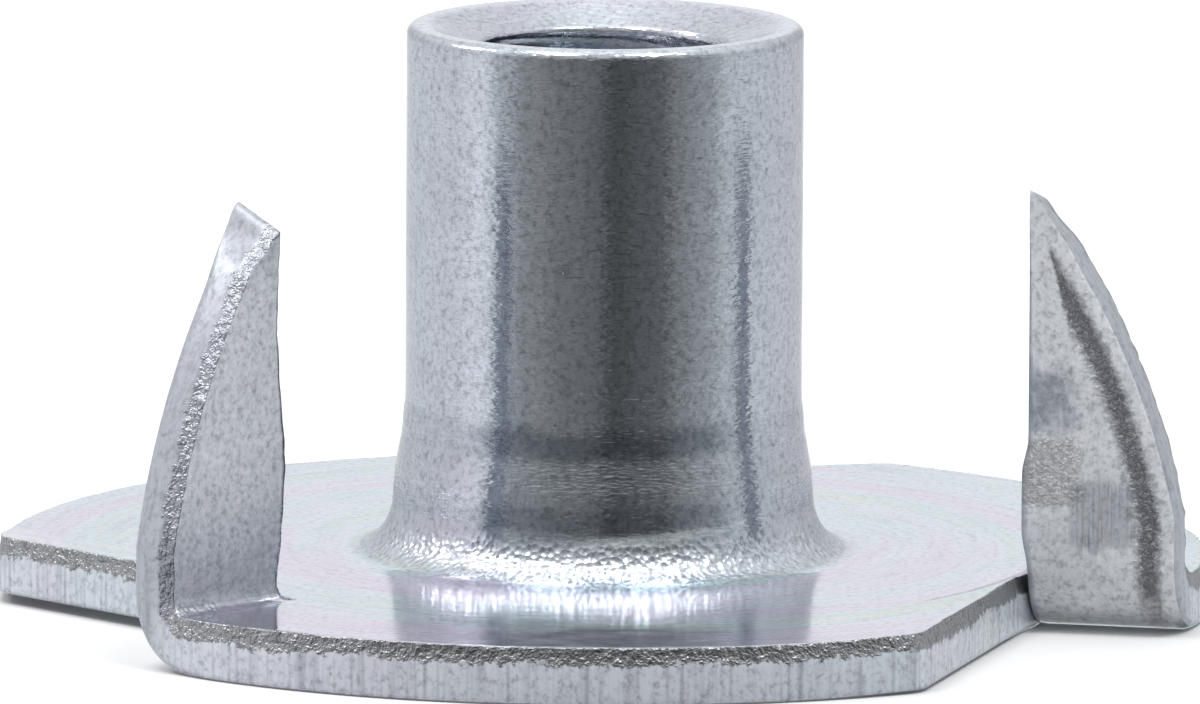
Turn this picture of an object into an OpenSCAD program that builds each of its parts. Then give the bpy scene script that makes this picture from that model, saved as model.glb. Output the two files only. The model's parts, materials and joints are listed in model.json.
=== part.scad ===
// Three-prong tee nut, drawn and stamped from one piece of sheet steel.
// Origin: on the barrel's axis, in the plane of the flange's underside. +Z runs up the barrel.

/* [Flange] */
// Diameter of the flange
flange_d = 19.05; // [17:0.05:24]
// Thickness of the sheet
sheet_t = 0.89; // [0.6:0.01:1.1]
// Radius of each flange corner beside a notch, seen from above
corner_r = 0.6; // [0.2:0.05:1]

/* [Barrel] */
// Outside diameter of the barrel above its flare
barrel_d = 6.23; // [5.4:0.01:7.5]
// Height from the flange's underside to the barrel's rim
total_h = 9.19; // [7:0.01:14]
// Concave radius where the barrel grows out of the flange
foot_r = 0.75; // [0.4:0.05:1.2]
// Height above the flange at which the barrel's flare ends
flare_h = 2.4; // [1.6:0.1:3]
// Half angle of the flare
flare_angle = 7.2; // [2:0.1:10]
// Radius on the rim's outer edge
rim_r = 0.15; // [0.05:0.01:0.25]
// Width of the flat land round the mouth
land_w = 0.34; // [0.3:0.01:0.5]
// Depth of the funnel in the mouth
funnel_h = 0.33; // [0.2:0.01:0.8]

/* [Thread] */
// Diameter of the hole at the thread's crests
minor_d = 3.83; // [3.2:0.01:4]
// Radius that leads into the hole at the flange's underside
entry_r = 1.1; // [0.5:0.05:1.3]

/* [Prongs] */
// Number of prongs
prong_count = 3; // [3:1:4]
// Angle of the first prong's fold line about the barrel
first_prong = -13; // [-90:1:90]
// Height of a prong's tip above the flange's underside
prong_h = 7; // [4:0.1:9]
// Distance from the axis to a prong's straight edge, along its fold line
prong_start = 7.05; // [6.2:0.05:7.6]
// Height at which a prong's curved edge leaves the flange's rim
prong_shoulder_h = 1.45; // [1.3:0.05:2.5]
// Radius of a prong's curved edge
prong_edge_r = 11.4; // [10:0.1:20]
// Radius inside the fold
fold_r = 0.27; // [0.1:0.01:0.6]
// Angle by which each notch widens towards the flange's rim
notch_angle = 3.3; // [0:0.1:8]

/* [Hidden] */
zinc = [0.78, 0.8, 0.83];
fine = 120;
reach = 1;
flange_r = flange_d / 2;
barrel_r = barrel_d / 2;
minor_r = minor_d / 2;
foot_z = sheet_t + foot_r;
flare_top = sheet_t + flare_h;
foot_x = barrel_r + (flare_top - foot_z) * tan(flare_angle) + foot_r / cos(flare_angle);
mouth_r = barrel_r - land_w;
fold_outer_r = fold_r + sheet_t;
prong_step = 360 / prong_count;

// Centre of a prong's curved edge, which runs from its shoulder on the rim to its tip
shoulder = [flange_r, prong_shoulder_h];
tip = [prong_start, prong_h];
chord = tip - shoulder;
edge_mid = (shoulder + tip) / 2
    + [-chord.y, chord.x] * sqrt(pow(prong_edge_r / norm(chord), 2) - 1 / 4);

// Unit vectors across and along a notch's cut line, and the cut line's distance from the axis
cut_across = [cos(notch_angle), -sin(notch_angle)];
cut_along = [-sin(notch_angle), -cos(notch_angle)];
cut_d = prong_start * cos(notch_angle);
corner_mid = cut_across * (cut_d - corner_r)
    + cut_along * sqrt(pow(flange_r - corner_r, 2) - pow(cut_d - corner_r, 2));
corner_tip = cut_across * cut_d + cut_along * sqrt(pow(flange_r, 2) - pow(cut_d, 2));

// Repeats its children at each prong's place, with the fold line along X
module at_each_prong() {
    for (i = [0 : prong_count - 1])
        rotate(first_prong + i * prong_step) children();
}

// The opening that a prong leaves in the flange, in plan
module notch_plan() {
    far = flange_r + 2 * reach;
    polygon([
        [prong_start, 0],
        [far, 0],
        [far, -far],
        [prong_start - far * tan(notch_angle), -far]
    ]);
}

// The waste outside a flange corner's radius, in plan
module corner_plan() {
    difference() {
        polygon([
            corner_mid,
            corner_mid + cut_across * corner_r,
            corner_tip * (flange_r + reach) / flange_r,
            corner_mid * flange_r / (flange_r - corner_r)
        ]);
        translate(corner_mid) circle(corner_r, $fn = fine);
    }
}

// The notched flange, still larger than its rim
module flange() {
    linear_extrude(sheet_t) difference() {
        circle(flange_r + reach, $fn = fine);
        at_each_prong() notch_plan();
    }
}

// The wall from the flange to the rim, in section, before the bore is cut
module barrel_section() {
    difference() {
        polygon([
            [0, 0],
            [foot_x, 0],
            [foot_x, foot_z],
            [foot_x - foot_r * cos(flare_angle), foot_z - foot_r * sin(flare_angle)],
            [barrel_r, flare_top],
            [barrel_r, total_h],
            [0, total_h]
        ]);
        translate([foot_x, foot_z]) circle(foot_r, $fn = fine);
        rim_waste();
    }
}

// The waste outside the radius on the rim
module rim_waste() {
    difference() {
        translate([barrel_r - rim_r, total_h - rim_r]) square(rim_r + reach);
        translate([barrel_r - rim_r, total_h - rim_r]) circle(rim_r, $fn = fine);
    }
}

module barrel() {
    rotate_extrude($fn = fine) barrel_section();
}

// The hole through the barrel, its rounded entry below and its funnel above
module bore() {
    translate([0, 0, -reach]) cylinder(h = total_h + 2 * reach, r = minor_r, $fn = fine);
    translate([0, 0, total_h - funnel_h])
        cylinder(h = funnel_h, r1 = minor_r, r2 = mouth_r, $fn = fine);
    rotate_extrude($fn = fine) difference() {
        translate([0, -reach]) square([minor_r + entry_r, entry_r + reach]);
        translate([minor_r + entry_r, entry_r]) circle(entry_r, $fn = fine);
    }
}

// A prong and its fold, in section across the fold line
module prong_section() {
    square([reach, sheet_t]);
    translate([-fold_outer_r, fold_outer_r]) square([sheet_t, prong_h]);
    translate([0, fold_outer_r]) intersection() {
        difference() {
            circle(fold_outer_r, $fn = fine);
            circle(fold_r, $fn = fine);
        }
        translate([-fold_outer_r - reach, -fold_outer_r - reach]) square(fold_outer_r + reach);
    }
}

module prong() {
    intersection() {
        translate([prong_start, 0, 0])
            rotate([90, 0, 90])
                linear_extrude(flange_r) prong_section();
        translate([edge_mid.x, 0, edge_mid.y])
            rotate([90, 0, 0])
                cylinder(h = 2 * flange_r, r = prong_edge_r, center = true, $fn = fine);
    }
}

// The flange and its prongs, trimmed together to the round rim
module stamping() {
    difference() {
        intersection() {
            union() {
                flange();
                at_each_prong() prong();
            }
            cylinder(h = prong_h + reach, r = flange_r, $fn = fine);
        }
        translate([0, 0, -reach])
            linear_extrude(sheet_t + 2 * reach)
                at_each_prong() corner_plan();
    }
}

module tee_nut() {
    color(zinc) difference() {
        union() {
            stamping();
            barrel();
        }
        bore();
    }
}

tee_nut();
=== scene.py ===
import json
import math

import bmesh
import bpy
from mathutils import Matrix, Vector, kdtree, noise

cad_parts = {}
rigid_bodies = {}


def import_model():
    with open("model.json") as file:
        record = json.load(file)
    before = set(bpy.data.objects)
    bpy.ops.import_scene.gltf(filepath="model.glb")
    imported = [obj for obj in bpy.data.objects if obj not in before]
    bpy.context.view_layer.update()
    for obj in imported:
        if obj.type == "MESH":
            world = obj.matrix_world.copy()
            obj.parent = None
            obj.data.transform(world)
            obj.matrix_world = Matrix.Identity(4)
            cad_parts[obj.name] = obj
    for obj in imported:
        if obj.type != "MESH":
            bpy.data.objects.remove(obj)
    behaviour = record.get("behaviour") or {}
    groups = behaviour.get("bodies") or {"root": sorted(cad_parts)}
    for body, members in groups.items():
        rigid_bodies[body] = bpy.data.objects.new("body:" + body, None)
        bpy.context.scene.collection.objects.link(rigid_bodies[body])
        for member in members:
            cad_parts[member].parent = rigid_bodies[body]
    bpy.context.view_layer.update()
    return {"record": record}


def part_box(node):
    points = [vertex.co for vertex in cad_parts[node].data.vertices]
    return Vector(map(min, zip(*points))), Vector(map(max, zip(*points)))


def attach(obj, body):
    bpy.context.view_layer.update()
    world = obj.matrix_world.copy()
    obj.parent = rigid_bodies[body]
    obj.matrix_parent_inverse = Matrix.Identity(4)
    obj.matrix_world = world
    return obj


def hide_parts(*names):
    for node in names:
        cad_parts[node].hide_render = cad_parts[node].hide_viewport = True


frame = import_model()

millimetre = 0.001
lowCorner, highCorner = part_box("tee_nut")
mounts = {mount["name"]: mount for mount in frame["record"]["mounts"]}

# What a maker would change about the nut, in millimetres and degrees
nut = {
    "flangeRadius": min(highCorner.x, -lowCorner.x) / millimetre,
    "height": highCorner.z / millimetre,
    "sheet": mounts["seat"]["pos_m"][2] / millimetre,
    "barrelRadius": mounts["barrel"]["dims"]["r_mm"],
    "boreRadius": mounts["thread"]["dims"]["r_mm"],
    "prongs": 3,
    "firstProng": -13,
    "cornerRadius": 0.6,
    "notchAngle": 3.3,
    "prongStart": 7.05,
    "prongHeight": 7,
    "tipWidth": 0.2,
    "tipLength": 1.2,       # over which the tip grows blunt
    "tipRounding": 0.2,
    "prongShoulder": 1.45,
    "prongEdgeRadius": 11.4,
    "foldRadius": 0.27,
    "around": 192,      # segments round the barrel
}

# The turned part: barrel, foot, funnel, thread and the flat middle of the flange
turned = {
    "footRadius": 0.75,
    "flareHeight": 2.4,
    "flareAngle": 7.2,
    "rimRadius": 0.15,
    "land": 0.34,
    "funnel": 0.33,
    "entryRadius": 1.1,
    "threadPitch": 1.058,
    "threadDepth": 0.5,
    "threadRunOut": 0.3,
    "threadCrest": 0.25,            # shares of the pitch: what is left uncut, and each flank
    "threadFlank": 0.3125,
    "rowsPerTurn": 8,
    "lapHeight": 1.48,              # the lap at the foot, at the front, and its rise a degree
    "lapRise": 0.0052,
    "lapStep": 0.035,
    "lapSoft": 0.04,
    "lapFrom": (0.9, 1.4),          # heights over which it sets in
    "lapSpan": (-6, 53, 6),         # from, to and softness, in degrees from the front
    "rings": [(2.78, 0.17, -0.016), (2.2, 0.17, 0.016), (1.65, 0.13, -0.012)],
    "ringWander": 0.3,
    "ripple": 0.004,
    "drawnFrom": (1.35, 1.75),      # heights over which drawing lines set in above the fillet
    "hammeredFrom": (0.9, 0.98),    # and the hammered band sets in and ends
    "hammeredTo": (1.6, 1.35),
    "stainsAndReflections": [(2.78, 3.25, 0.12, 1.0), (1.62, 2.0, 0.1, 0.7)],     # painted reflection bands round the barrel: from, to, softness, strength
    "reflectionSpan": (-40, 38, 8),
    "reflectionShares": (0.15, 0.75),    # all round, and added at the front
    "reflectionWander": 0.15,
}

# How the blank's edge was sheared: rolled over below, burnished, then torn
sheared = {
    "levels": [0, 0.025, 0.055, 0.1, 0.16, 0.3, 0.45, 0.56, 0.64, 0.72, 0.8, 0.86, 0.89],
    "rimRoll": 0.07,
    "prongRoll": 0.22,
    "tearStart": 0.6,
    "tearWaves": [(0.9, 3, 0.07), (2.3, 9, 0.05)],      # waves a millimetre, seed, height
    "tearSlope": 0.13,
    "tearRough": 0.035,
    "tearShares": (0.6, 0.5, 0.4),  # even, coarse and fine roughness
    "coarseTear": (4.5, 5),         # waves a millimetre, along the edge and up it
    "fineTear": (11, 11),
    "grooves": (7, 0.6),
    "burr": 0.015,
    "burrWidth": 0.1,
    "burrWaves": 6,
    "easing": (0.012, 0.03),        # the burr's own edge: how low it drops and how wide
    "groove": 0.004,
    "reach": 0.4,                   # how far in from the edge the sheet is drawn
    "endFade": 0.15,                # the outline's two ends lie still
    "tipCalm": 0.85,                # how much smoother the tip is, and how far from it
    "tipSpan": (1.6, 0.2),
    "rollShare": 0.35,              # most of the sheet's width that the roll may take
    "tornFrom": (-0.11, 0.13),      # levels from the tear line over which the wall looks torn
    "matteFrom": (0.15, 0.65),      # shares of the fold over which its outer face turns matte
}

# How each prong and its lobe came out of the press, in the order they stand round the flange
prongHabits = [
    {"marks": 1.0, "chisel": 0.22, "spread": 0.1, "belly": 0, "curl": 0.02, "facet": 8.9},
    {"marks": 0.6, "chisel": 0.3, "spread": 0.06, "belly": 0.05, "curl": 0.15, "facet": 8.8},
    {"marks": 0.8, "chisel": 0.38, "spread": 0, "belly": 0.18, "curl": 0.03, "facet": 8.55},
]

# The press's marks on a prong, as from, to and softness: x runs out from the axis, z up from the seat
press = {
    "ragged": (4, 0.12),            # waves a millimetre and reach of the patches' borders
    "coinedX": (6.5, 7.9, 0.12),
    "coinedZ": (2.05, 3.1, 0.05),
    "cloudedX": (6.5, 7.75, 0.25),
    "cloudedZ": (3.25, 4.2, 0.2),
    "ironedX": (7.75, 8.75, 0.12),
    "ironedZ": (1.4, 2.45, 0.1),
    "ridgeX": (6.5, 8.1, 0.2),
    "ridgeTop": (3.17, 3.07),
    "ridgeFoot": (1.2, 2.6),
    "ridge": 0.03,                  # how far each stands out
    "dent": (7.25, 2.08, 0.07, 0.07),       # x, z, radius, depth
    "pebbles": (6, 6, 0.014),               # waves a millimetre in x and z, and height
    "streaks": (9, 0.6, 0.012),
    "waves": (1.3, 1.3, 0.012),
    "fadeAtEdge": 0.3,
    "galled": (0.28, 0.64, 0.13),   # a line of galling beside the curved edge, and its groove; the line's dark paint is partly painted shade of the groove
    "gallGroove": (0.34, 0.5, 0.1),
    "gallDepth": 0.045,
    "chiselHeight": 1.1,            # length of the chisel slope at the tip
    "spreadZ": (3.1, 2.5),          # the foot's spread and the belly stay near the straight edge
    "bellyZ": (2.9, 1.4),
    "straightX": 8.4,
    "straightFrom": (-0.2, 0.5),
    "innerShade": (0.3, 0.5, 0.6),  # painted shade and reflection on the inner face: all over, towards the tip, at the foot
    "tipShade": (4, 6),
    "footShade": (2, 0),
    "facetTo": (9.6, 0.06),         # the hammered spot in the bend
    "facetY": (-0.95, -0.1, 0.1),
    "curlWidth": 1.5,
    "curlFrom": (0.2, 2),
}

# What each place on the nut looks like, kept on its points for the finish to read
markNames = ("shear", "torn", "matte", "galled", "hammered", "drawn", "coined", "ironed", "clouded")


def smooth(low, high, value):
    # an eased step from 0 at low to 1 at high
    share = min(max((value - low) / (high - low), 0), 1)
    return share * share * (3 - 2 * share)


def within(value, low, high, soft):
    # 1 between low and high, easing to 0 outside
    return smooth(low - soft, low + soft, value) * smooth(high + soft, high - soft, value)


def polar(radius, degrees):
    return Vector((radius * math.cos(math.radians(degrees)), radius * math.sin(math.radians(degrees))))


def spaced(start, end, steps):
    return [start + (end - start) * step / steps for step in range(steps + 1)]


def arc(centre, radius, start, end, steps):
    return [Vector(centre) + polar(radius, angle) for angle in spaced(start, end, steps)]


def line(start, end, steps):
    return [Vector(start).lerp(Vector(end), share) for share in spaced(0, 1, steps)]


def turnedProfile():
    # the whole section, from the flange's top in to the barrel, up, over the rim, down the bore and out
    sheet = nut["sheet"]
    foot = turned["footRadius"]
    flare = turned["flareAngle"]
    footZ = sheet + foot
    flareTop = sheet + turned["flareHeight"]
    slope = math.radians(flare)
    footX = nut["barrelRadius"] + (flareTop - footZ) * math.tan(slope) + foot / math.cos(slope)
    rim = turned["rimRadius"]
    mouth = nut["barrelRadius"] - turned["land"]
    funnelZ = nut["height"] - turned["funnel"]
    bore = nut["boreRadius"]
    entry = turned["entryRadius"]
    flareFoot = Vector((footX, footZ)) + polar(foot, 180 + flare)
    threadRows = round((funnelZ - entry) / turned["threadPitch"] * turned["rowsPerTurn"])
    rimTop = (nut["barrelRadius"] - rim, nut["height"])
    return (
        line((nut["prongStart"], sheet), (footX, sheet), 14)[:-1]
        + arc((footX, footZ), foot, 270, 180 + flare, 14)[:-1]
        + line(flareFoot, (nut["barrelRadius"], flareTop), 24)[:-1]
        + line((nut["barrelRadius"], flareTop), (nut["barrelRadius"], nut["height"] - rim), 46)[:-1]
        + arc((nut["barrelRadius"] - rim, nut["height"] - rim), rim, 0, 90, 6)[:-1]
        + line(rimTop, (mouth, nut["height"]), 4)[:-1]
        + line((mouth, nut["height"]), (bore, funnelZ), 10)[:-1]
        + line((bore, funnelZ), (bore, entry), threadRows)[:-1]
        + arc((bore + entry, entry), entry, 180, 270, 9)[:-1]
        + line((bore + entry, 0), (nut["prongStart"], 0), 5)
    )


def threadCut(angle, z):
    # a 60 degree thread: how deep it is cut at this place in the bore
    phase = (z / turned["threadPitch"] - angle / math.tau) % 1
    flank = turned["threadFlank"]
    depth = min(max((phase - turned["threadCrest"]) / flank, 0), max((1 - phase) / flank, 0), 1)
    top = nut["height"] - turned["funnel"]
    runOut = turned["threadRunOut"]
    fade = smooth(0, runOut, top - z) * smooth(0, runOut, z - turned["entryRadius"])
    return turned["threadDepth"] * depth * fade


def barrelRelief(angle, z):
    # shallow rings where the sheet was drawn, and the lap at the foot
    across = Vector((math.cos(angle), math.sin(angle)))
    rings = sum(height * math.exp(-((z - place) / width) ** 2) for place, width, height in turned["rings"])
    rings *= 1 + turned["ringWander"] * noise.noise(Vector((2 * across.x, 2 * across.y, 1)))
    ripple = turned["ripple"] * noise.noise(Vector((2.5 * across.x, 2.5 * across.y, z * 2.2)))
    ripple *= smooth(1, 2, z) * smooth(nut["height"], nut["height"] - 0.5, z)
    fromFront = math.degrees(angle) + 90
    lap = turned["lapHeight"] + turned["lapRise"] * fromFront
    stepped = turned["lapStep"] * smooth(lap + turned["lapSoft"], lap - turned["lapSoft"], z)
    stepped *= smooth(*turned["lapFrom"], z) * within(fromFront, *turned["lapSpan"])
    return stepped + rings + ripple


def barrelMarks(point):
    # how drawn and hammered the outside of the barrel and its foot look here, and its clouding: dark bands,
    # strongest at the front, that are painted reflection of the dark front
    wander = turned["reflectionWander"] * noise.noise(Vector((point.x * 1.5, point.y * 1.5, point.z)))
    # painted reflection: dark bands at the heights where the barrel reflects the dark front, strongest at
    # the front
    bands = sum(strength * within(point.z + wander, low, high, soft)
                for low, high, soft, strength in turned["stainsAndReflections"])
    fromFront = math.degrees(math.atan2(point.y, point.x)) + 90
    allRound, atFront = turned["reflectionShares"]
    return {
        "drawn": smooth(*turned["drawnFrom"], point.z),
        "hammered": smooth(*turned["hammeredFrom"], point.z) * smooth(*turned["hammeredTo"], point.z),
        "clouded": bands * (allRound + atFront * within(fromFront, *turned["reflectionSpan"])),
    }


def makeTurned():
    body = bmesh.new()
    marks = {markName: body.verts.layers.float.new(markName) for markName in markNames}
    corners = [body.verts.new((point.x, 0, point.y)) for point in turnedProfile()]
    edges = [body.edges.new(pair) for pair in zip(corners, corners[1:])]
    bmesh.ops.spin(body, geom=corners + edges, cent=(0, 0, 0), axis=(0, 0, 1), angle=math.tau,
                   steps=nut["around"], use_merge=True)
    bmesh.ops.rotate(body, verts=body.verts, cent=(0, 0, 0),
                     matrix=Matrix.Rotation(math.radians(nut["firstProng"]), 3, "Z"))
    top = nut["height"] - turned["funnel"]
    for vertex in body.verts:
        radius = vertex.co.xy.length
        z = vertex.co.z
        angle = math.atan2(vertex.co.y, vertex.co.x)
        if radius < nut["boreRadius"] + 0.01 and turned["entryRadius"] < z < top:
            vertex.co.xy *= 1 + threadCut(angle, z) / radius
            vertex[marks["drawn"]] = 1.0
        elif z > nut["sheet"] + 0.001:
            for markName, strength in barrelMarks(vertex.co).items():
                vertex[marks[markName]] = strength
            vertex.co.xy *= 1 + barrelRelief(angle, z) / radius
    ring = [edge for edge in body.edges
            if all(vertex.co.xy.length > nut["prongStart"] - 0.01 for vertex in edge.verts)]
    bmesh.ops.subdivide_edges(body, edges=ring, cuts=2)
    return body


# How finely a sector is cut: across, round the fold, up the prong and along the rim
columns = 26
foldRows = 12
prongRows = 56
rimSteps = 120
cornerSteps = 10
crowding = 1.7          # how much closer the columns stand beside the sheared edge
sectorAngle = 360 / nut["prongs"]
rimRows = nut["around"] * 3 // nut["prongs"]
foldOuter = nut["foldRadius"] + nut["sheet"]
foldLength = (nut["foldRadius"] + nut["sheet"] / 2) * math.pi / 2
prongFlat = nut["prongHeight"] - foldOuter


def edgeMiddle():
    # centre of a prong's curved edge, which runs from its shoulder to its tip
    shoulder = Vector((nut["flangeRadius"], nut["prongShoulder"]))
    tip = Vector((nut["prongStart"], nut["prongHeight"]))
    chord = tip - shoulder
    away = math.sqrt((nut["prongEdgeRadius"] / chord.length) ** 2 - 0.25)
    return (shoulder + tip) / 2 + Vector((-chord.y, chord.x)) * away


def prongWidth(flatY):
    # how far out a prong reaches at this distance past its fold line
    turn = min(max(-flatY / foldLength, 0), 1) * math.pi / 2
    beyond = max(-flatY - foldLength, 0)
    outerY = foldOuter * math.sin(turn)
    z = foldOuter - foldOuter * math.cos(turn) + beyond
    middle = edgeMiddle()
    curved = middle.x + math.sqrt(nut["prongEdgeRadius"] ** 2 - (z - middle.y) ** 2)
    return min(curved, math.sqrt(nut["flangeRadius"] ** 2 - outerY ** 2))


def walk(points, share):
    # the point at this share of a polyline's length
    lengths = [(after - before).length for before, after in zip(points, points[1:])]
    left = share * sum(lengths)
    for before, after, length in zip(points, points[1:], lengths):
        if left <= length + 1e-9:
            return before.lerp(after, left / length)
        left -= length
    return points[-1]


def cornerPlan():
    # the two touching points and the centre of the flange's corner, in its own prong's frame
    corner = nut["cornerRadius"]
    across = polar(1, sectorAngle - nut["notchAngle"])
    along = Vector((across.y, -across.x))
    cutDistance = nut["prongStart"] * math.cos(math.radians(nut["notchAngle"]))
    inset = cutDistance - corner
    centre = across * inset + along * math.sqrt((nut["flangeRadius"] - corner) ** 2 - inset ** 2)
    onRim = math.degrees(math.atan2(centre.y, centre.x))
    onCut = math.degrees(math.atan2(across.y, across.x))
    return centre, onRim, onCut


def sectorSides():
    centre, onRim, onCut = cornerPlan()
    corner = nut["cornerRadius"]
    half = (onRim + onCut) / 2
    rim = arc((0, 0), nut["flangeRadius"], 0, onRim, rimSteps)[:-1]
    rim += arc(centre, corner, onRim, half, cornerSteps)
    cut = [polar(nut["prongStart"], sectorAngle)] + arc(centre, corner, onCut, half, cornerSteps)
    return rim, cut


def columnShares():
    # closer together beside the sheared edge
    atHalf = 1 - 0.5 ** crowding
    return [1 - (1 - share) ** crowding if share > 0.5 else share * atHalf / 0.5
            for share in spaced(0, 1, columns)]


def flatPlan():
    # the flat blank of one sector: plan[row][column], from the prong's tip to the flange's cut line
    shares = columnShares()
    rim, cut = sectorSides()
    start = nut["prongStart"]
    plan = []
    for row in range(prongRows + foldRows):
        if row < prongRows:
            flatY = -foldLength - prongFlat * (1 - row / prongRows)
        else:
            flatY = -foldLength * (1 - (row - prongRows) / foldRows)
        fromTip = prongFlat + foldLength + flatY
        blunt = max(1 - fromTip / nut["tipLength"], 0) ** 2
        width = prongWidth(flatY) - start + nut["tipWidth"] * blunt
        rounding = nut["tipRounding"] * smooth(1, 0, fromTip)
        plan.append([Vector((start + width * share, flatY + rounding * share ** 2)) for share in shares])
    fold = [Vector((start, 0)).lerp(Vector((nut["flangeRadius"], 0)), share) for share in shares]
    ends = [walk(cut, share) for share in shares]
    for row in range(rimRows + 1):
        turn = row / rimRows
        inner = polar(start, sectorAngle * turn)
        outer = walk(rim, turn)
        across = []
        for column, share in enumerate(shares):
            between = inner.lerp(outer, share)
            atFold = fold[column] - fold[0].lerp(fold[-1], share)
            atCut = ends[column] - ends[0].lerp(ends[-1], share)
            across.append(between + atFold * (1 - turn) + atCut * turn)
        plan.append(across)
    return plan


def outlineOf(plan):
    # the sheared outline in order: point, outward direction, distance along it and the sheet's width there
    last = len(plan) - 1
    weld = prongRows + foldRows
    places = [(row, 0) for row in range(weld, 0, -1)]
    places += [(0, column) for column in range(columns)]
    places += [(row, columns) for row in range(last)]
    places += [(last, column) for column in range(columns, -1, -1)]
    points = [plan[row][column] for row, column in places]
    outline = []
    run = 0
    for index, point in enumerate(points):
        before = points[max(index - 1, 0)]
        after = points[min(index + 1, len(points) - 1)]
        along = (after - before).normalized()
        run += (point - before).length
        row = places[index][0]
        room = (plan[row][columns] - plan[row][0]).length if row < weld else nut["flangeRadius"]
        outline.append((point, Vector((along.y, -along.x)), run, room))
    return outline


def rollRadius(run, onCurve, offCurve):
    # a prong's curved edge was drawn down hard, the rest of the outline lightly
    hard = smooth(onCurve, onCurve + 0.8, run) * smooth(offCurve + 0.6, offCurve - 0.4, run)
    return sheared["rimRoll"] + (sheared["prongRoll"] - sheared["rimRoll"]) * hard


def tearLine(run, seed):
    # the level at which the burnished wall gives way to the torn one
    return sheared["tearStart"] + sum(height * noise.noise(Vector((run * waves, seed, extra)))
                                      for waves, extra, height in sheared["tearWaves"])


def edgeNoise(waves, run, level, seed):
    return noise.noise(Vector((run * waves[0], level * waves[1], seed)))


def shearOffset(run, level, seed):
    # how far the sheared wall lies behind the blank's outline at this level
    torn = max(level - tearLine(run, seed), 0)
    even, coarse, fine = sheared["tearShares"]
    coarse *= edgeNoise(sheared["coarseTear"], run, level, seed)
    fine *= edgeNoise(sheared["fineTear"], run, level, seed)
    groove = abs(edgeNoise(sheared["grooves"], run, level, seed + 5))
    rough = smooth(0, 0.1, torn) * sheared["tearRough"] * (even + coarse + fine)
    return torn * sheared["tearSlope"] + rough + sheared["groove"] * groove


def rolled(depth, level, radius):
    # the rounded lower corner: the new depth and level of a point near it
    if level < 1e-6 and depth < radius:
        turn = math.radians(45) * (1 - depth / radius)
    elif depth < 1e-6 and level < radius:
        turn = math.radians(90) - math.radians(45) * (1 - level / radius)
    else:
        return depth, level
    return radius * (1 - math.sin(turn)), radius * (1 - math.cos(turn))


def folded(x, flatY, level):
    # carries a point of the flat blank round the prong's fold
    if flatY >= 0:
        return Vector((x, flatY, level))
    turn = min(-flatY / foldLength, 1) * math.pi / 2
    beyond = max(-flatY - foldLength, 0)
    radius = foldOuter - level
    return Vector((x, -radius * math.sin(turn), foldOuter - radius * math.cos(turn) + beyond))


def pressNoise(name, x, z, seed):
    # one of the press's textures, as a height
    wavesX, wavesZ, height = press[name]
    return height * noise.noise(Vector((x * wavesX, z * wavesZ, seed)))


def toolMarks(x, z, seed, strength):
    # the marks on a prong's outer face, and how far the face stands out there
    waves, reach = press["ragged"]
    ragged = reach * noise.noise(Vector((x * waves, z * waves, seed)))
    low, high, soft = press["coinedX"]
    coined = within(x, low, high + ragged, soft) * within(z + ragged, *press["coinedZ"])
    low, high, soft = press["cloudedX"]
    clouded = within(x, low, high + ragged * 2, soft) * within(z + ragged * 2, *press["cloudedZ"])
    ironed = within(x + ragged, *press["ironedX"]) * within(z + ragged, *press["ironedZ"])
    ridge = within(x, *press["ridgeX"]) * smooth(*press["ridgeTop"], z) * smooth(*press["ridgeFoot"], z)
    dentX, dentZ, dentRadius, dentDepth = press["dent"]
    dent = dentDepth * math.exp(-((x - dentX) ** 2 + (z - dentZ) ** 2) / dentRadius ** 2)
    proud = press["ridge"] * ridge - dent + pressNoise("waves", x, z, seed + 2)
    proud += coined * pressNoise("pebbles", x, z, seed) + ironed * pressNoise("streaks", x, z, seed)
    return coined * strength, clouded * strength, ironed * strength, proud * strength


def lobeCurl(x, flatY, amount):
    # the flange's corner beside a notch was left standing a little high
    across = polar(1, sectorAngle - nut["notchAngle"])
    flatPoint = Vector((x, flatY))
    corner = polar(nut["prongStart"], sectorAngle)
    fromCut = (corner - flatPoint).dot(across)
    fromFold = (flatPoint - corner).length
    return amount * smooth(press["curlWidth"], 0, fromCut) * smooth(*press["curlFrom"], fromFold)


def makeSector(index):
    sector = bmesh.new()
    marks = {markName: sector.verts.layers.float.new(markName) for markName in markNames}
    joined = sector.verts.layers.float.new("joined")
    plan = flatPlan()
    rows = len(plan) - 1
    weld = prongRows + foldRows
    sheet = nut["sheet"]
    bmesh.ops.create_grid(sector, x_segments=columns, y_segments=rows, size=1)
    for vertex in sector.verts:
        column = round((vertex.co.x + 1) / 2 * columns)
        row = round((vertex.co.y + 1) / 2 * rows)
        vertex.co = plan[row][column].to_3d()
        vertex[joined] = 1.0 if column == 0 and row >= weld else 0.0
    made = bmesh.ops.extrude_face_region(sector, geom=sector.faces[:])
    raised = [item for item in made["geom"] if isinstance(item, bmesh.types.BMVert)]
    bmesh.ops.translate(sector, verts=raised, vec=(0, 0, sheet))
    joint = [face for face in sector.faces if all(vertex[joined] for vertex in face.verts)]
    bmesh.ops.delete(sector, geom=joint, context="FACES")
    upright = [edge for edge in sector.edges if abs(edge.verts[0].co.z - edge.verts[1].co.z) > sheet / 2]
    bmesh.ops.subdivide_edges(sector, edges=upright, cuts=len(sheared["levels"]) - 2, use_grid_fill=True)
    shapeSector(sector, index, outlineOf(plan), marks, joined)
    bmesh.ops.rotate(sector, verts=sector.verts, cent=(0, 0, 0),
                     matrix=Matrix.Rotation(math.radians(nut["firstProng"] + sectorAngle * index), 3, "Z"))
    return sector


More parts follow.
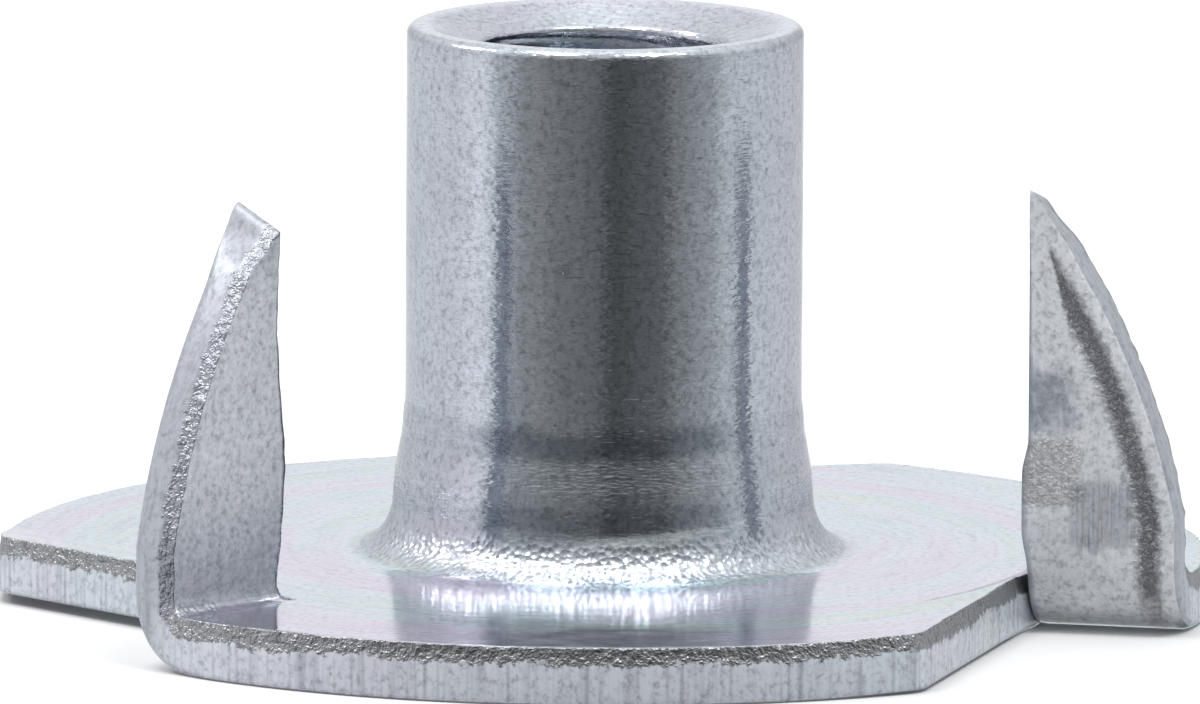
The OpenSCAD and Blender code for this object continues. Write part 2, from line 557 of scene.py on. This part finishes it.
def shearedPoint(point, level, edge, free, calm, radius, seed):
    # where a point near the edge goes: rolled over below, torn back above, with a burr on top
    outward, run, room, depth = edge
    newDepth, newLevel = rolled(depth, level, radius) if radius > 0.001 else (depth, level)
    pull = newDepth - depth
    if level > nut["sheet"] / 2:
        fade = max(1 - depth / sheared["reach"], 0) ** 2 * min(room / 0.8, 1)
        pull += shearOffset(run, level, seed) * fade * free * calm
    if level > nut["sheet"] - 1e-6:
        rise = 0.5 + 0.5 * noise.noise(Vector((run * sheared["burrWaves"], seed, 1)))
        drop, dropWidth = sheared["easing"]
        burr = sheared["burr"] * rise * max(1 - depth / sheared["burrWidth"], 0)
        newLevel += free * (burr - drop * max(1 - depth / dropWidth, 0))
    return point - outward * pull, newLevel


def shapeSector(sector, index, outline, marks, joined):
    seed = 10 * index + 4.5
    sheet = nut["sheet"]
    habit = prongHabits[index]
    tree = kdtree.KDTree(len(outline))
    for number, row in enumerate(outline):
        tree.insert(row[0].to_3d(), number)
    tree.balance()
    onCurve = outline[prongRows + foldRows + columns][2]
    offCurve = outline[2 * (prongRows + foldRows) + columns][2]
    total = outline[-1][2]
    tipMiddle = (outline[prongRows + foldRows][2] + onCurve) / 2
    steps = len(sheared["levels"]) - 1
    endFade = sheared["endFade"]
    for vertex in sector.verts:
        level = sheared["levels"][round(vertex.co.z / sheet * steps)]
        outerFace = level < 1e-6
        innerFace = level > sheet - 1e-6
        found, number, distance = tree.find((*vertex.co.xy, 0))
        point, outward, run, room = outline[number]
        depth = max((point - vertex.co.xy).dot(outward), 0) if distance > 1e-5 else 0
        if distance > 2 * sheared["reach"]:
            depth = distance
        free = smooth(0, endFade, run) * smooth(0, endFade, total - run) * (1 - vertex[joined])
        calm = 1 - sheared["tipCalm"] * smooth(*sheared["tipSpan"], abs(run - tipMiddle))
        radius = min(rollRadius(run, onCurve, offCurve), sheared["rollShare"] * room) * free * calm
        edge = (outward, run, room, depth)
        flat, newLevel = shearedPoint(vertex.co.xy, level, edge, free, calm, radius, seed)
        x, flatY = flat
        onWall = depth < 1e-4 and distance < 1e-3
        vertex[marks["shear"]] = 1.0 if onWall and free > 0.2 else 0.0
        overTear = smooth(*sheared["tornFrom"], level - tearLine(run, seed))
        vertex[marks["torn"]] = overTear if onWall else 0.0
        onProng = smooth(0, -foldLength, flatY)
        setIn, full = sheared["matteFrom"]
        bent = smooth(-setIn * foldLength, -full * foldLength, flatY)
        vertex[marks["matte"]] = bent if level < sheet / 2 else onProng
        height = -flatY - foldLength
        if flatY > 0:
            newLevel += lobeCurl(x, flatY, habit["curl"]) * (1 - vertex[joined])
        if height > -0.2:
            z = foldOuter + height
            slope = habit["chisel"] * smooth(press["chiselHeight"], 0, prongFlat - height)
            flatY += slope * level / sheet
            straight = smooth(press["straightX"], nut["prongStart"], x)
            straight *= smooth(*press["straightFrom"], height)
            bellyMiddle, bellyReach = press["bellyZ"]
            belly = habit["belly"] * math.exp(-((z - bellyMiddle) / bellyReach) ** 2)
            x -= straight * (habit["spread"] * smooth(*press["spreadZ"], z) + belly)
            if outerFace:
                coined, clouded, ironed, proud = toolMarks(x, z, seed, habit["marks"])
                newLevel -= proud * min(depth / press["fadeAtEdge"], 1)
                vertex[marks["coined"]] = coined
                vertex[marks["ironed"]] = ironed
                vertex[marks["clouded"]] = clouded
        # the galled line is painted dark: galling, and painted shade of the groove beside the edge
        if outerFace and onCurve < run < offCurve:
            vertex[marks["galled"]] = onProng * within(depth, *press["galled"])
            newLevel += press["gallDepth"] * onProng * within(depth, *press["gallGroove"])
        # painted shade and reflection: the inner face is darkened all over, more towards the tip and at its
        # foot by the fold
        if innerFace and height > -0.5:
            allOver, atTip, atFoot = press["innerShade"]
            paintedShade = allOver + atTip * smooth(*press["tipShade"], height)
            vertex[marks["clouded"]] = paintedShade + atFoot * smooth(*press["footShade"], height)
        if innerFace and flatY < 0:
            facet = within(x, habit["facet"], *press["facetTo"]) * within(flatY, *press["facetY"])
            vertex[marks["hammered"]] = facet
        vertex.co = folded(x, flatY, newLevel)


def makeNut():
    whole = makeTurned()
    print("turned body:", len(whole.verts), "points")
    for index in range(nut["prongs"]):
        sector = makeSector(index)
        spare = bpy.data.meshes.new("sector")
        sector.to_mesh(spare)
        sector.free()
        whole.from_mesh(spare)
        bpy.data.meshes.remove(spare)
    print("with sectors:", len(whole.verts), "points")
    bmesh.ops.remove_doubles(whole, verts=whole.verts, dist=0.004)
    bmesh.ops.recalc_face_normals(whole, faces=whole.faces)
    loose = [edge for edge in whole.edges if len(edge.link_faces) != 2]
    print("open or crowded edges:", len(loose))
    for face in whole.faces:
        face.smooth = True
    bmesh.ops.scale(whole, verts=whole.verts, vec=(millimetre,) * 3)
    mesh = bpy.data.meshes.new("teeNut")
    whole.to_mesh(mesh)
    whole.free()
    piece = bpy.data.objects.new("teeNut", mesh)
    bpy.context.scene.collection.objects.link(piece)
    print("nut:", sum(len(face.vertices) - 2 for face in mesh.polygons), "triangles")
    return piece


def linear(hexColour):
    # an sRGB hex value as linear red, green, blue and alpha
    channels = [int(hexColour[place:place + 2], 16) / 255 for place in (1, 3, 5)]
    return [c / 12.92 if c <= 0.04045 else ((c + 0.055) / 1.055) ** 2.4 for c in channels] + [1]


def addNode(tree, kind, inputs=None, **settings):
    # adds one node; inputs takes plain values, and sockets to link from
    node = tree.nodes.new(kind)
    for name, value in settings.items():
        setattr(node, name, value)
    for name, value in (inputs or {}).items():
        if isinstance(value, bpy.types.NodeSocket):
            tree.links.new(value, node.inputs[name])
        else:
            node.inputs[name].default_value = value
    return node


# The finish: colours, pattern sizes in millimetres and where each pattern shows
zinc = {
    "plating": "#DFE4EC",       # bright zinc
    "satin": "#F3F5F9",         # the duller zinc on the prongs
    "rose": "#E4D2E8",          # the clear passivate's tints
    "aqua": "#CBE3E6",
    "straw": "#E3E3CF",
    # dark paint for the specks, mottle, streaks and wipes, and for the painted shade on the prongs' sheared
    # edges
    "stainAndShade": "#8B8E95",
    # dark paint for clouding, also used as painted shade and painted reflection on the barrel and the
    # prongs' inner faces
    "clouded": "#7C8793",
    "torn": "#A6A4A2",
    "soiled": "#9F9C96",
    # dark paint for the galling, which also stands in as painted shade of its groove
    "galled": "#66686E",
    "streakSize": 0.1,          # rolling lines round the flange
    "streakTurns": 6.0,
    "streakScale": 0.8,
    "tintScale": 0.12,
    "tintStops": [(0.3, "straw"), (0.42, "aqua"), (0.52, "plating"), (0.62, "rose")],
    "tintShares": (0.15, 0.7),  # off and on the flange
    "dimpleSize": 0.11,         # the hammered foot
    # size across, size upright, detail and roughness; the finest are drawn coarse enough to show
    "grains": {
        "grain": (0.09, 0.09, 1.0, 0.5),
        "mottle": (0.909, 0.909, 3.0, 0.62),
        "crumbs": (0.1111, 0.1111, 2.0, 0.7),
        "specks": (0.1, 0.1, 3.0, 0.7),
        "combing": (0.0909, 2.0, 1.0, 0.5),
        "scratches": (0.1667, 0.04167, 1.0, 0.5),
    },
    "fray": 1.4,                # how far a pattern eats into a mark's border, and where the border falls
    "frayMiddle": 1.2,
    "borders": [("torn", "crumbs", 0.14), ("galled", "crumbs", 0.45), ("coined", "crumbs", 0.5),
                ("clouded", "crumbs", 0.6), ("ironed", "combing", 0.35)],
    # pattern, place and height
    "reliefs": [("streaks", "flange", 0.002), ("scratches", "drawn", 0.009), ("grain", "bare", 0.014),
                ("dimples", "hammered", 0.022), ("crumbs", "frayedTorn", 0.06), ("combing", "shear", 0.006),
                ("crumbs", "galled", 0.2), ("combing", "ironed", 0.16), ("crumbs", "coined", 0.14)],
    # place, share and colour, one over the other
    "coverings": [("bare", 0.85, "satin"), ("speckled", 0.28, "stainAndShade"), ("mottled", 0.14, "stainAndShade"),
                  # the darkening of the prongs' sheared edges is painted shade
                  ("shadedEdge", 0.5, "stainAndShade"), ("lined", 0.3, "stainAndShade"), ("wiped", 0.4, "stainAndShade"),
                  # the galled line's dark paint is partly painted shade
                  ("sparkling", 1.0, "torn"), ("frayedGalled", 0.9, "galled"),
                  # the clouding paint is partly painted shade and painted reflection
                  ("frayedCoined", 0.4, "soiled"), ("frayedClouded", 0.75, "clouded"),
                  ("frayedIroned", 0.4, "clouded")],
    # pattern, the range of it that shows, and the place it keeps to
    "stainsAndReflections": [("specks", 0.5, 0.72, "speckled", "plain"), ("mottle", 0.45, 0.7, "mottled", "plain"),
               ("streaks", 0.5, 0.75, "lined", "flange"), ("combing", 0.45, 0.75, "wiped", "shear")],
    "plainDrop": -0.8,          # how much fewer specks bright and sheared places show
    "tornShares": (0.7, 0.05),  # how strong the torn colour is off and on a prong
    "polish": (0.38, 0.62, 0.09, 0.17),     # range of the mottle, and the roughness at its ends
    "roughness": [("matte", 0.42), ("shear", 0.34), ("torn", 0.36), ("hammered", 0.26), ("coined", 0.5)],
    "satinMetal": 0.3,          # the satin zinc scatters light like chalk over metal
}


def zincPatterns(tree):
    # every pattern by name, sized in millimetres
    metres = addNode(tree, "ShaderNodeTexCoord").outputs["Object"]
    place = addNode(tree, "ShaderNodeVectorMath", {0: metres, "Scale": 1 / millimetre},
                    operation="SCALE").outputs[0]

    # round the axis: radius, and direction as a unit vector, which has no seam
    flat = addNode(tree, "ShaderNodeVectorMath", {0: place, 1: (1, 1, 0)}, operation="MULTIPLY").outputs[0]
    radius = addNode(tree, "ShaderNodeVectorMath", {0: flat}, operation="LENGTH").outputs["Value"]
    bearing = addNode(tree, "ShaderNodeVectorMath", {0: flat}, operation="NORMALIZE").outputs[0]
    turns = (zinc["streakTurns"],) * 3
    circled = addNode(tree, "ShaderNodeVectorMath", {0: bearing, 1: turns}, operation="MULTIPLY").outputs[0]
    sides = addNode(tree, "ShaderNodeSeparateXYZ", {0: circled}).outputs
    farOut = addNode(tree, "ShaderNodeMath", {0: radius, 1: 1 / zinc["streakSize"]},
                     operation="MULTIPLY").outputs[0]
    rings = addNode(tree, "ShaderNodeCombineXYZ", {0: farOut, 1: sides[0], 2: sides[1]}).outputs[0]

    patterns = {}
    patterns["streaks"] = addNode(tree, "ShaderNodeTexNoise", {
        "Vector": rings, "Scale": zinc["streakScale"], "Detail": 2.0}).outputs[0]
    patterns["tints"] = addNode(tree, "ShaderNodeTexNoise", {
        "Vector": rings, "Scale": zinc["tintScale"], "Detail": 2.0, "Distortion": 0.6}).outputs[0]
    patterns["dimples"] = addNode(tree, "ShaderNodeTexVoronoi", {
        "Vector": place, "Scale": 1 / zinc["dimpleSize"]}).outputs["Distance"]
    for name, (across, upright, detail, roughness) in zinc["grains"].items():
        sizes = (1 / across, 1 / across, 1 / upright)
        spread = addNode(tree, "ShaderNodeVectorMath", {0: place, 1: sizes}, operation="MULTIPLY").outputs[0]
        patterns[name] = addNode(tree, "ShaderNodeTexNoise", {
            "Vector": spread, "Scale": 1.0, "Detail": detail, "Roughness": roughness}).outputs[0]
    return patterns


def zincPlaces(tree, patterns):
    # where each look shows, from 0 to 1: the marks kept on the points, and what follows from them
    places = {name: addNode(tree, "ShaderNodeAttribute", attribute_name=name).outputs["Fac"]
              for name in markNames}
    elsewhere = 0.0
    for name in ("drawn", "matte", "shear", "hammered"):
        elsewhere = addNode(tree, "ShaderNodeMath", {0: places[name], 1: elsewhere},
                            operation="ADD").outputs[0]
    places["flange"] = addNode(tree, "ShaderNodeMath", {0: 1.0, 1: elsewhere}, operation="SUBTRACT",
                               use_clamp=True).outputs[0]
    places["bare"] = addNode(tree, "ShaderNodeMath", {0: places["matte"], 1: places["shear"]},
                             operation="SUBTRACT", use_clamp=True).outputs[0]
    # painted shade: the prongs' sheared edges are darkened
    places["shadedEdge"] = addNode(tree, "ShaderNodeMath", {0: places["shear"], 1: places["matte"]},
                              operation="MULTIPLY").outputs[0]
    shiny = addNode(tree, "ShaderNodeMath", {0: places["flange"], 1: places["shear"]},
                    operation="MAXIMUM").outputs[0]
    places["plain"] = addNode(tree, "ShaderNodeMath", {0: shiny, 1: zinc["plainDrop"], 2: 1.0},
                              operation="MULTIPLY_ADD").outputs[0]

    # the same marks with ragged borders
    for name, pattern, softness in zinc["borders"]:
        frayed = addNode(tree, "ShaderNodeMath", {0: patterns[pattern], 1: zinc["fray"], 2: places[name]},
                         operation="MULTIPLY_ADD").outputs[0]
        places["frayed" + name.capitalize()] = addNode(tree, "ShaderNodeMapRange", {
            0: frayed, 1: zinc["frayMiddle"] - softness, 2: zinc["frayMiddle"] + softness}).outputs[0]
    off, on = zinc["tornShares"]
    sparkle = addNode(tree, "ShaderNodeMapRange", {0: places["matte"], 3: off, 4: on}).outputs[0]
    places["sparkling"] = addNode(tree, "ShaderNodeMath", {0: places["frayedTorn"], 1: sparkle},
                                  operation="MULTIPLY").outputs[0]
    for pattern, low, high, name, keptTo in zinc["stainsAndReflections"]:
        shown = addNode(tree, "ShaderNodeMapRange", {0: patterns[pattern], 1: low, 2: high}).outputs[0]
        places[name] = addNode(tree, "ShaderNodeMath", {0: shown, 1: places[keptTo]},
                               operation="MULTIPLY").outputs[0]
    return places


def zincRelief(tree, patterns, places):
    # heights in millimetres, each kept to its own place
    total = 0.0
    for pattern, place, height in zinc["reliefs"]:
        share = addNode(tree, "ShaderNodeMath", {0: places[place], 1: height},
                        operation="MULTIPLY").outputs[0]
        centred = addNode(tree, "ShaderNodeMath", {0: patterns[pattern], 1: 0.5},
                          operation="SUBTRACT").outputs[0]
        total = addNode(tree, "ShaderNodeMath", {0: centred, 1: share, 2: total},
                        operation="MULTIPLY_ADD").outputs[0]
    bump = addNode(tree, "ShaderNodeBump", {"Height": total, "Distance": millimetre, "Strength": 1.0})
    return bump.outputs[0]


def zincColour(tree, patterns, places):
    # plating, tinted most on the flange, with all the staining and marks laid over it, painted shade and
    # painted reflection among them
    ramp = addNode(tree, "ShaderNodeValToRGB", {0: patterns["tints"]})
    elements = ramp.color_ramp.elements
    for number, (position, name) in enumerate(zinc["tintStops"]):
        stop = elements[number] if number < 2 else elements.new(position)
        stop.position = position
        stop.color = linear(zinc[name])
    off, on = zinc["tintShares"]
    tinting = addNode(tree, "ShaderNodeMapRange", {0: places["flange"], 3: off, 4: on}).outputs[0]
    colour = addNode(tree, "ShaderNodeMix", {0: tinting, 6: linear(zinc["plating"]), 7: ramp.outputs[0]},
                     data_type="RGBA").outputs[2]
    for place, amount, paint in zinc["coverings"]:
        share = addNode(tree, "ShaderNodeMath", {0: places[place], 1: amount},
                        operation="MULTIPLY").outputs[0]
        colour = addNode(tree, "ShaderNodeMix", {0: share, 6: colour, 7: linear(zinc[paint])},
                         data_type="RGBA").outputs[2]
    return colour


def makeZinc():
    # zinc-plated drawn steel: mirror-bright where it was rolled or ironed, satin on the prongs,
    # and a coarse sparkle where the sheet tore
    material = bpy.data.materials.new("zincPlatedSteelStamped")
    material.use_nodes = True
    tree = material.node_tree
    tree.nodes.clear()
    patterns = zincPatterns(tree)
    places = zincPlaces(tree, patterns)
    low, high, smoothest, roughest = zinc["polish"]
    rough = addNode(tree, "ShaderNodeMapRange", {
        0: patterns["mottle"], 1: low, 2: high, 3: smoothest, 4: roughest}).outputs[0]
    for name, value in zinc["roughness"]:
        rough = addNode(tree, "ShaderNodeMix", {0: places[name], 2: rough, 3: value}).outputs[0]
    satin = addNode(tree, "ShaderNodeMath", {0: places["matte"], 1: places["shear"]},
                    operation="MAXIMUM").outputs[0]
    satin = addNode(tree, "ShaderNodeMath", {0: satin, 1: places["frayedTorn"]},
                    operation="SUBTRACT").outputs[0]
    metal = addNode(tree, "ShaderNodeMapRange", {0: satin, 3: 1.0, 4: zinc["satinMetal"]}).outputs[0]
    shader = addNode(tree, "ShaderNodeBsdfPrincipled", {
        "Base Color": zincColour(tree, patterns, places), "Metallic": metal, "Roughness": rough,
        "Normal": zincRelief(tree, patterns, places)})
    addNode(tree, "ShaderNodeOutputMaterial", {"Surface": shader.outputs[0]})
    print("finish:", material.name, "with", len(tree.nodes), "nodes")
    return material


# The stage; bearings are the tent's brightness by degrees from the front, towards the right
studio = {
    "floorSize": 4,
    "floorDrop": 0.01,      # millimetres, so that it never shares a plane with the flange
    "paper": "#FAFAFA",
    "bearings": [(-180, 1.1), (-163, 0.72), (-100, 0.78), (-76, 0.95), (-64, 0.6), (-48, 0.33),
                 (-20, 0.22), (-2, 0.17), (3, 0.09), (32, 0.15), (46, 0.3), (62, 0.42), (78, 0.68),
                 (100, 0.72), (163, 0.66), (180, 1.1)],
    "coolness": (0.98, 1, 1.03),
    "tableEdge": (-0.15, -0.03, 1.0, 0.82),     # heights from and to, and brightness at each
    "underTable": (-0.2, -0.6, 1.0, 0.25),
    "walls": (0.06, 0.65),      # the walls give way to the roof between these heights
    "roof": (0.5, 0.9, 0.3, 0.6),   # heights from and to, and share of white at each
    # name, place, target, width and watts
    "softboxes": [("overhead", (0, 0.12, 0.4), (0, 0, 0), 0.3, 0.08),
                  ("left", (-0.26, 0.06, 0.24), (-0.007, -0.007, 0.006), 0.09, 0.2),
                  ("frontLeft", (-0.12, -0.07, 0.35), (0, 0, 0), 0.13, 0.28),
                  ("frontRight", (0.115, -0.09, 0.345), (0, 0, 0), 0.12, 0.33)],
}


def makePaper():
    # uncoated white paper: flat white with no shine; clear from below, to show the nut's underside
    material = bpy.data.materials.new("whitePaperUncoated")
    material.use_nodes = True
    tree = material.node_tree
    tree.nodes.clear()
    paper = addNode(tree, "ShaderNodeBsdfDiffuse", {"Color": linear(studio["paper"])}).outputs[0]
    clear = addNode(tree, "ShaderNodeBsdfTransparent").outputs[0]
    below = addNode(tree, "ShaderNodeNewGeometry").outputs["Backfacing"]
    cover = addNode(tree, "ShaderNodeMixShader", {0: below, 1: paper, 2: clear})
    addNode(tree, "ShaderNodeOutputMaterial", {"Surface": cover.outputs[0]})
    return material


def makeFloor():
    grid = bmesh.new()
    bmesh.ops.create_grid(grid, x_segments=1, y_segments=1, size=studio["floorSize"])
    mesh = bpy.data.meshes.new("floor")
    grid.to_mesh(mesh)
    grid.free()
    mesh.materials.append(makePaper())
    floor = bpy.data.objects.new("floor", mesh)
    bpy.context.scene.collection.objects.link(floor)
    floor.location.z = -studio["floorDrop"] * millimetre
    floor.visible_glossy = False
    print("floor: paper,", studio["floorDrop"], "mm below the seat")


def makeWorld():
    # a white tent, bright above and behind, with a dark opening at the front
    world = bpy.data.worlds.new("tent")
    bpy.context.scene.world = world
    world.use_nodes = True
    tree = world.node_tree
    tree.nodes.clear()
    way = addNode(tree, "ShaderNodeTexCoord").outputs["Generated"]
    right, back, up = addNode(tree, "ShaderNodeSeparateXYZ", {0: way}).outputs
    front = addNode(tree, "ShaderNodeMath", {0: back, 1: -1.0}, operation="MULTIPLY").outputs[0]
    bearing = addNode(tree, "ShaderNodeMath", {0: right, 1: front}, operation="ARCTAN2").outputs[0]
    share = addNode(tree, "ShaderNodeMapRange", {0: bearing, 1: -math.pi, 2: math.pi}).outputs[0]
    ramp = addNode(tree, "ShaderNodeValToRGB", {0: share})
    ramp.color_ramp.interpolation = "EASE"
    elements = ramp.color_ramp.elements
    elements[0].position = 0
    elements[1].position = 1
    for angle, bright in studio["bearings"][1:-1]:
        elements.new((angle + 180) / 360)
    for stop, (angle, bright) in zip(elements, studio["bearings"]):
        stop.color = [bright * channel for channel in studio["coolness"]] + [1]

    # how bright the walls are at each height, and how they turn into the roof
    low, high, dim, full = studio["tableEdge"]
    horizon = addNode(tree, "ShaderNodeMapRange", {0: up, 1: low, 2: high, 3: dim, 4: full},
                      interpolation_type="SMOOTHSTEP").outputs[0]
    low, high, dim, full = studio["underTable"]
    under = addNode(tree, "ShaderNodeMapRange", {0: up, 1: low, 2: high, 3: dim, 4: full}).outputs[0]
    horizon = addNode(tree, "ShaderNodeMath", {0: horizon, 1: under}, operation="MULTIPLY").outputs[0]
    walls = addNode(tree, "ShaderNodeMix", {0: 1.0, 6: ramp.outputs[0], 7: horizon}, data_type="RGBA",
                    blend_type="MULTIPLY").outputs[2]
    low, high = studio["walls"]
    raised = addNode(tree, "ShaderNodeMapRange", {0: up, 1: low, 2: high},
                     interpolation_type="SMOOTHSTEP").outputs[0]
    low, high, dim, full = studio["roof"]
    whiteness = addNode(tree, "ShaderNodeMapRange", {0: up, 1: low, 2: high, 3: dim, 4: full},
                        interpolation_type="SMOOTHSTEP").outputs[0]
    white = (1, 1, 1, 1)
    roof = addNode(tree, "ShaderNodeMix", {0: whiteness, 6: ramp.outputs[0], 7: white},
                   data_type="RGBA").outputs[2]
    tent = addNode(tree, "ShaderNodeMix", {0: raised, 6: walls, 7: roof}, data_type="RGBA").outputs[2]

    # the backdrop itself is plain white
    seen = addNode(tree, "ShaderNodeLightPath").outputs["Is Camera Ray"]
    shown = addNode(tree, "ShaderNodeMix", {0: seen, 6: tent, 7: white}, data_type="RGBA").outputs[2]
    light = addNode(tree, "ShaderNodeBackground", {"Color": shown, "Strength": 1.0})
    addNode(tree, "ShaderNodeOutputWorld", {"Surface": light.outputs[0]})


def addSoftbox(name, place, target, width, watts):
    light = bpy.data.lights.new(name, "AREA")
    light.shape = "SQUARE"
    light.size = width
    light.energy = watts
    holder = bpy.data.objects.new(name, light)
    holder.location = place
    holder.rotation_euler = (Vector(target) - Vector(place)).to_track_quat("-Z", "Y").to_euler()
    holder.visible_camera = False
    bpy.context.scene.collection.objects.link(holder)


# Where the view is taken from, in metres, with the lens in millimetres and the roll in degrees
view = {
    "place": (0, -0.33346, 0.0562),
    "target": (-0.00006, 0.000653, 0.00389),
    "lens": 645,
    "sensor": 36,
    "roll": 0.3,
    "clip": (0.01, 20),
}


def makeCamera():
    camera = bpy.data.cameras.new("view")
    camera.sensor_width = view["sensor"]
    camera.lens = view["lens"]
    camera.clip_start, camera.clip_end = view["clip"]
    holder = bpy.data.objects.new("view", camera)
    holder.location = view["place"]
    aim = (Vector(view["target"]) - Vector(view["place"])).to_track_quat("-Z", "Y").to_matrix().to_4x4()
    holder.rotation_euler = (aim @ Matrix.Rotation(math.radians(view["roll"]), 4, "Z")).to_euler()
    bpy.context.scene.collection.objects.link(holder)
    bpy.context.scene.camera = holder
    print("camera:", view["lens"], "mm lens at", view["place"])


piece = makeNut()
piece.data.materials.append(makeZinc())
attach(piece, "root")
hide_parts("tee_nut")
makeFloor()
makeWorld()
for softbox in studio["softboxes"]:
    addSoftbox(*softbox)
print("light: a tent and", len(studio["softboxes"]), "softboxes")
makeCamera()
bpy.context.scene.view_settings.view_transform = "Standard"
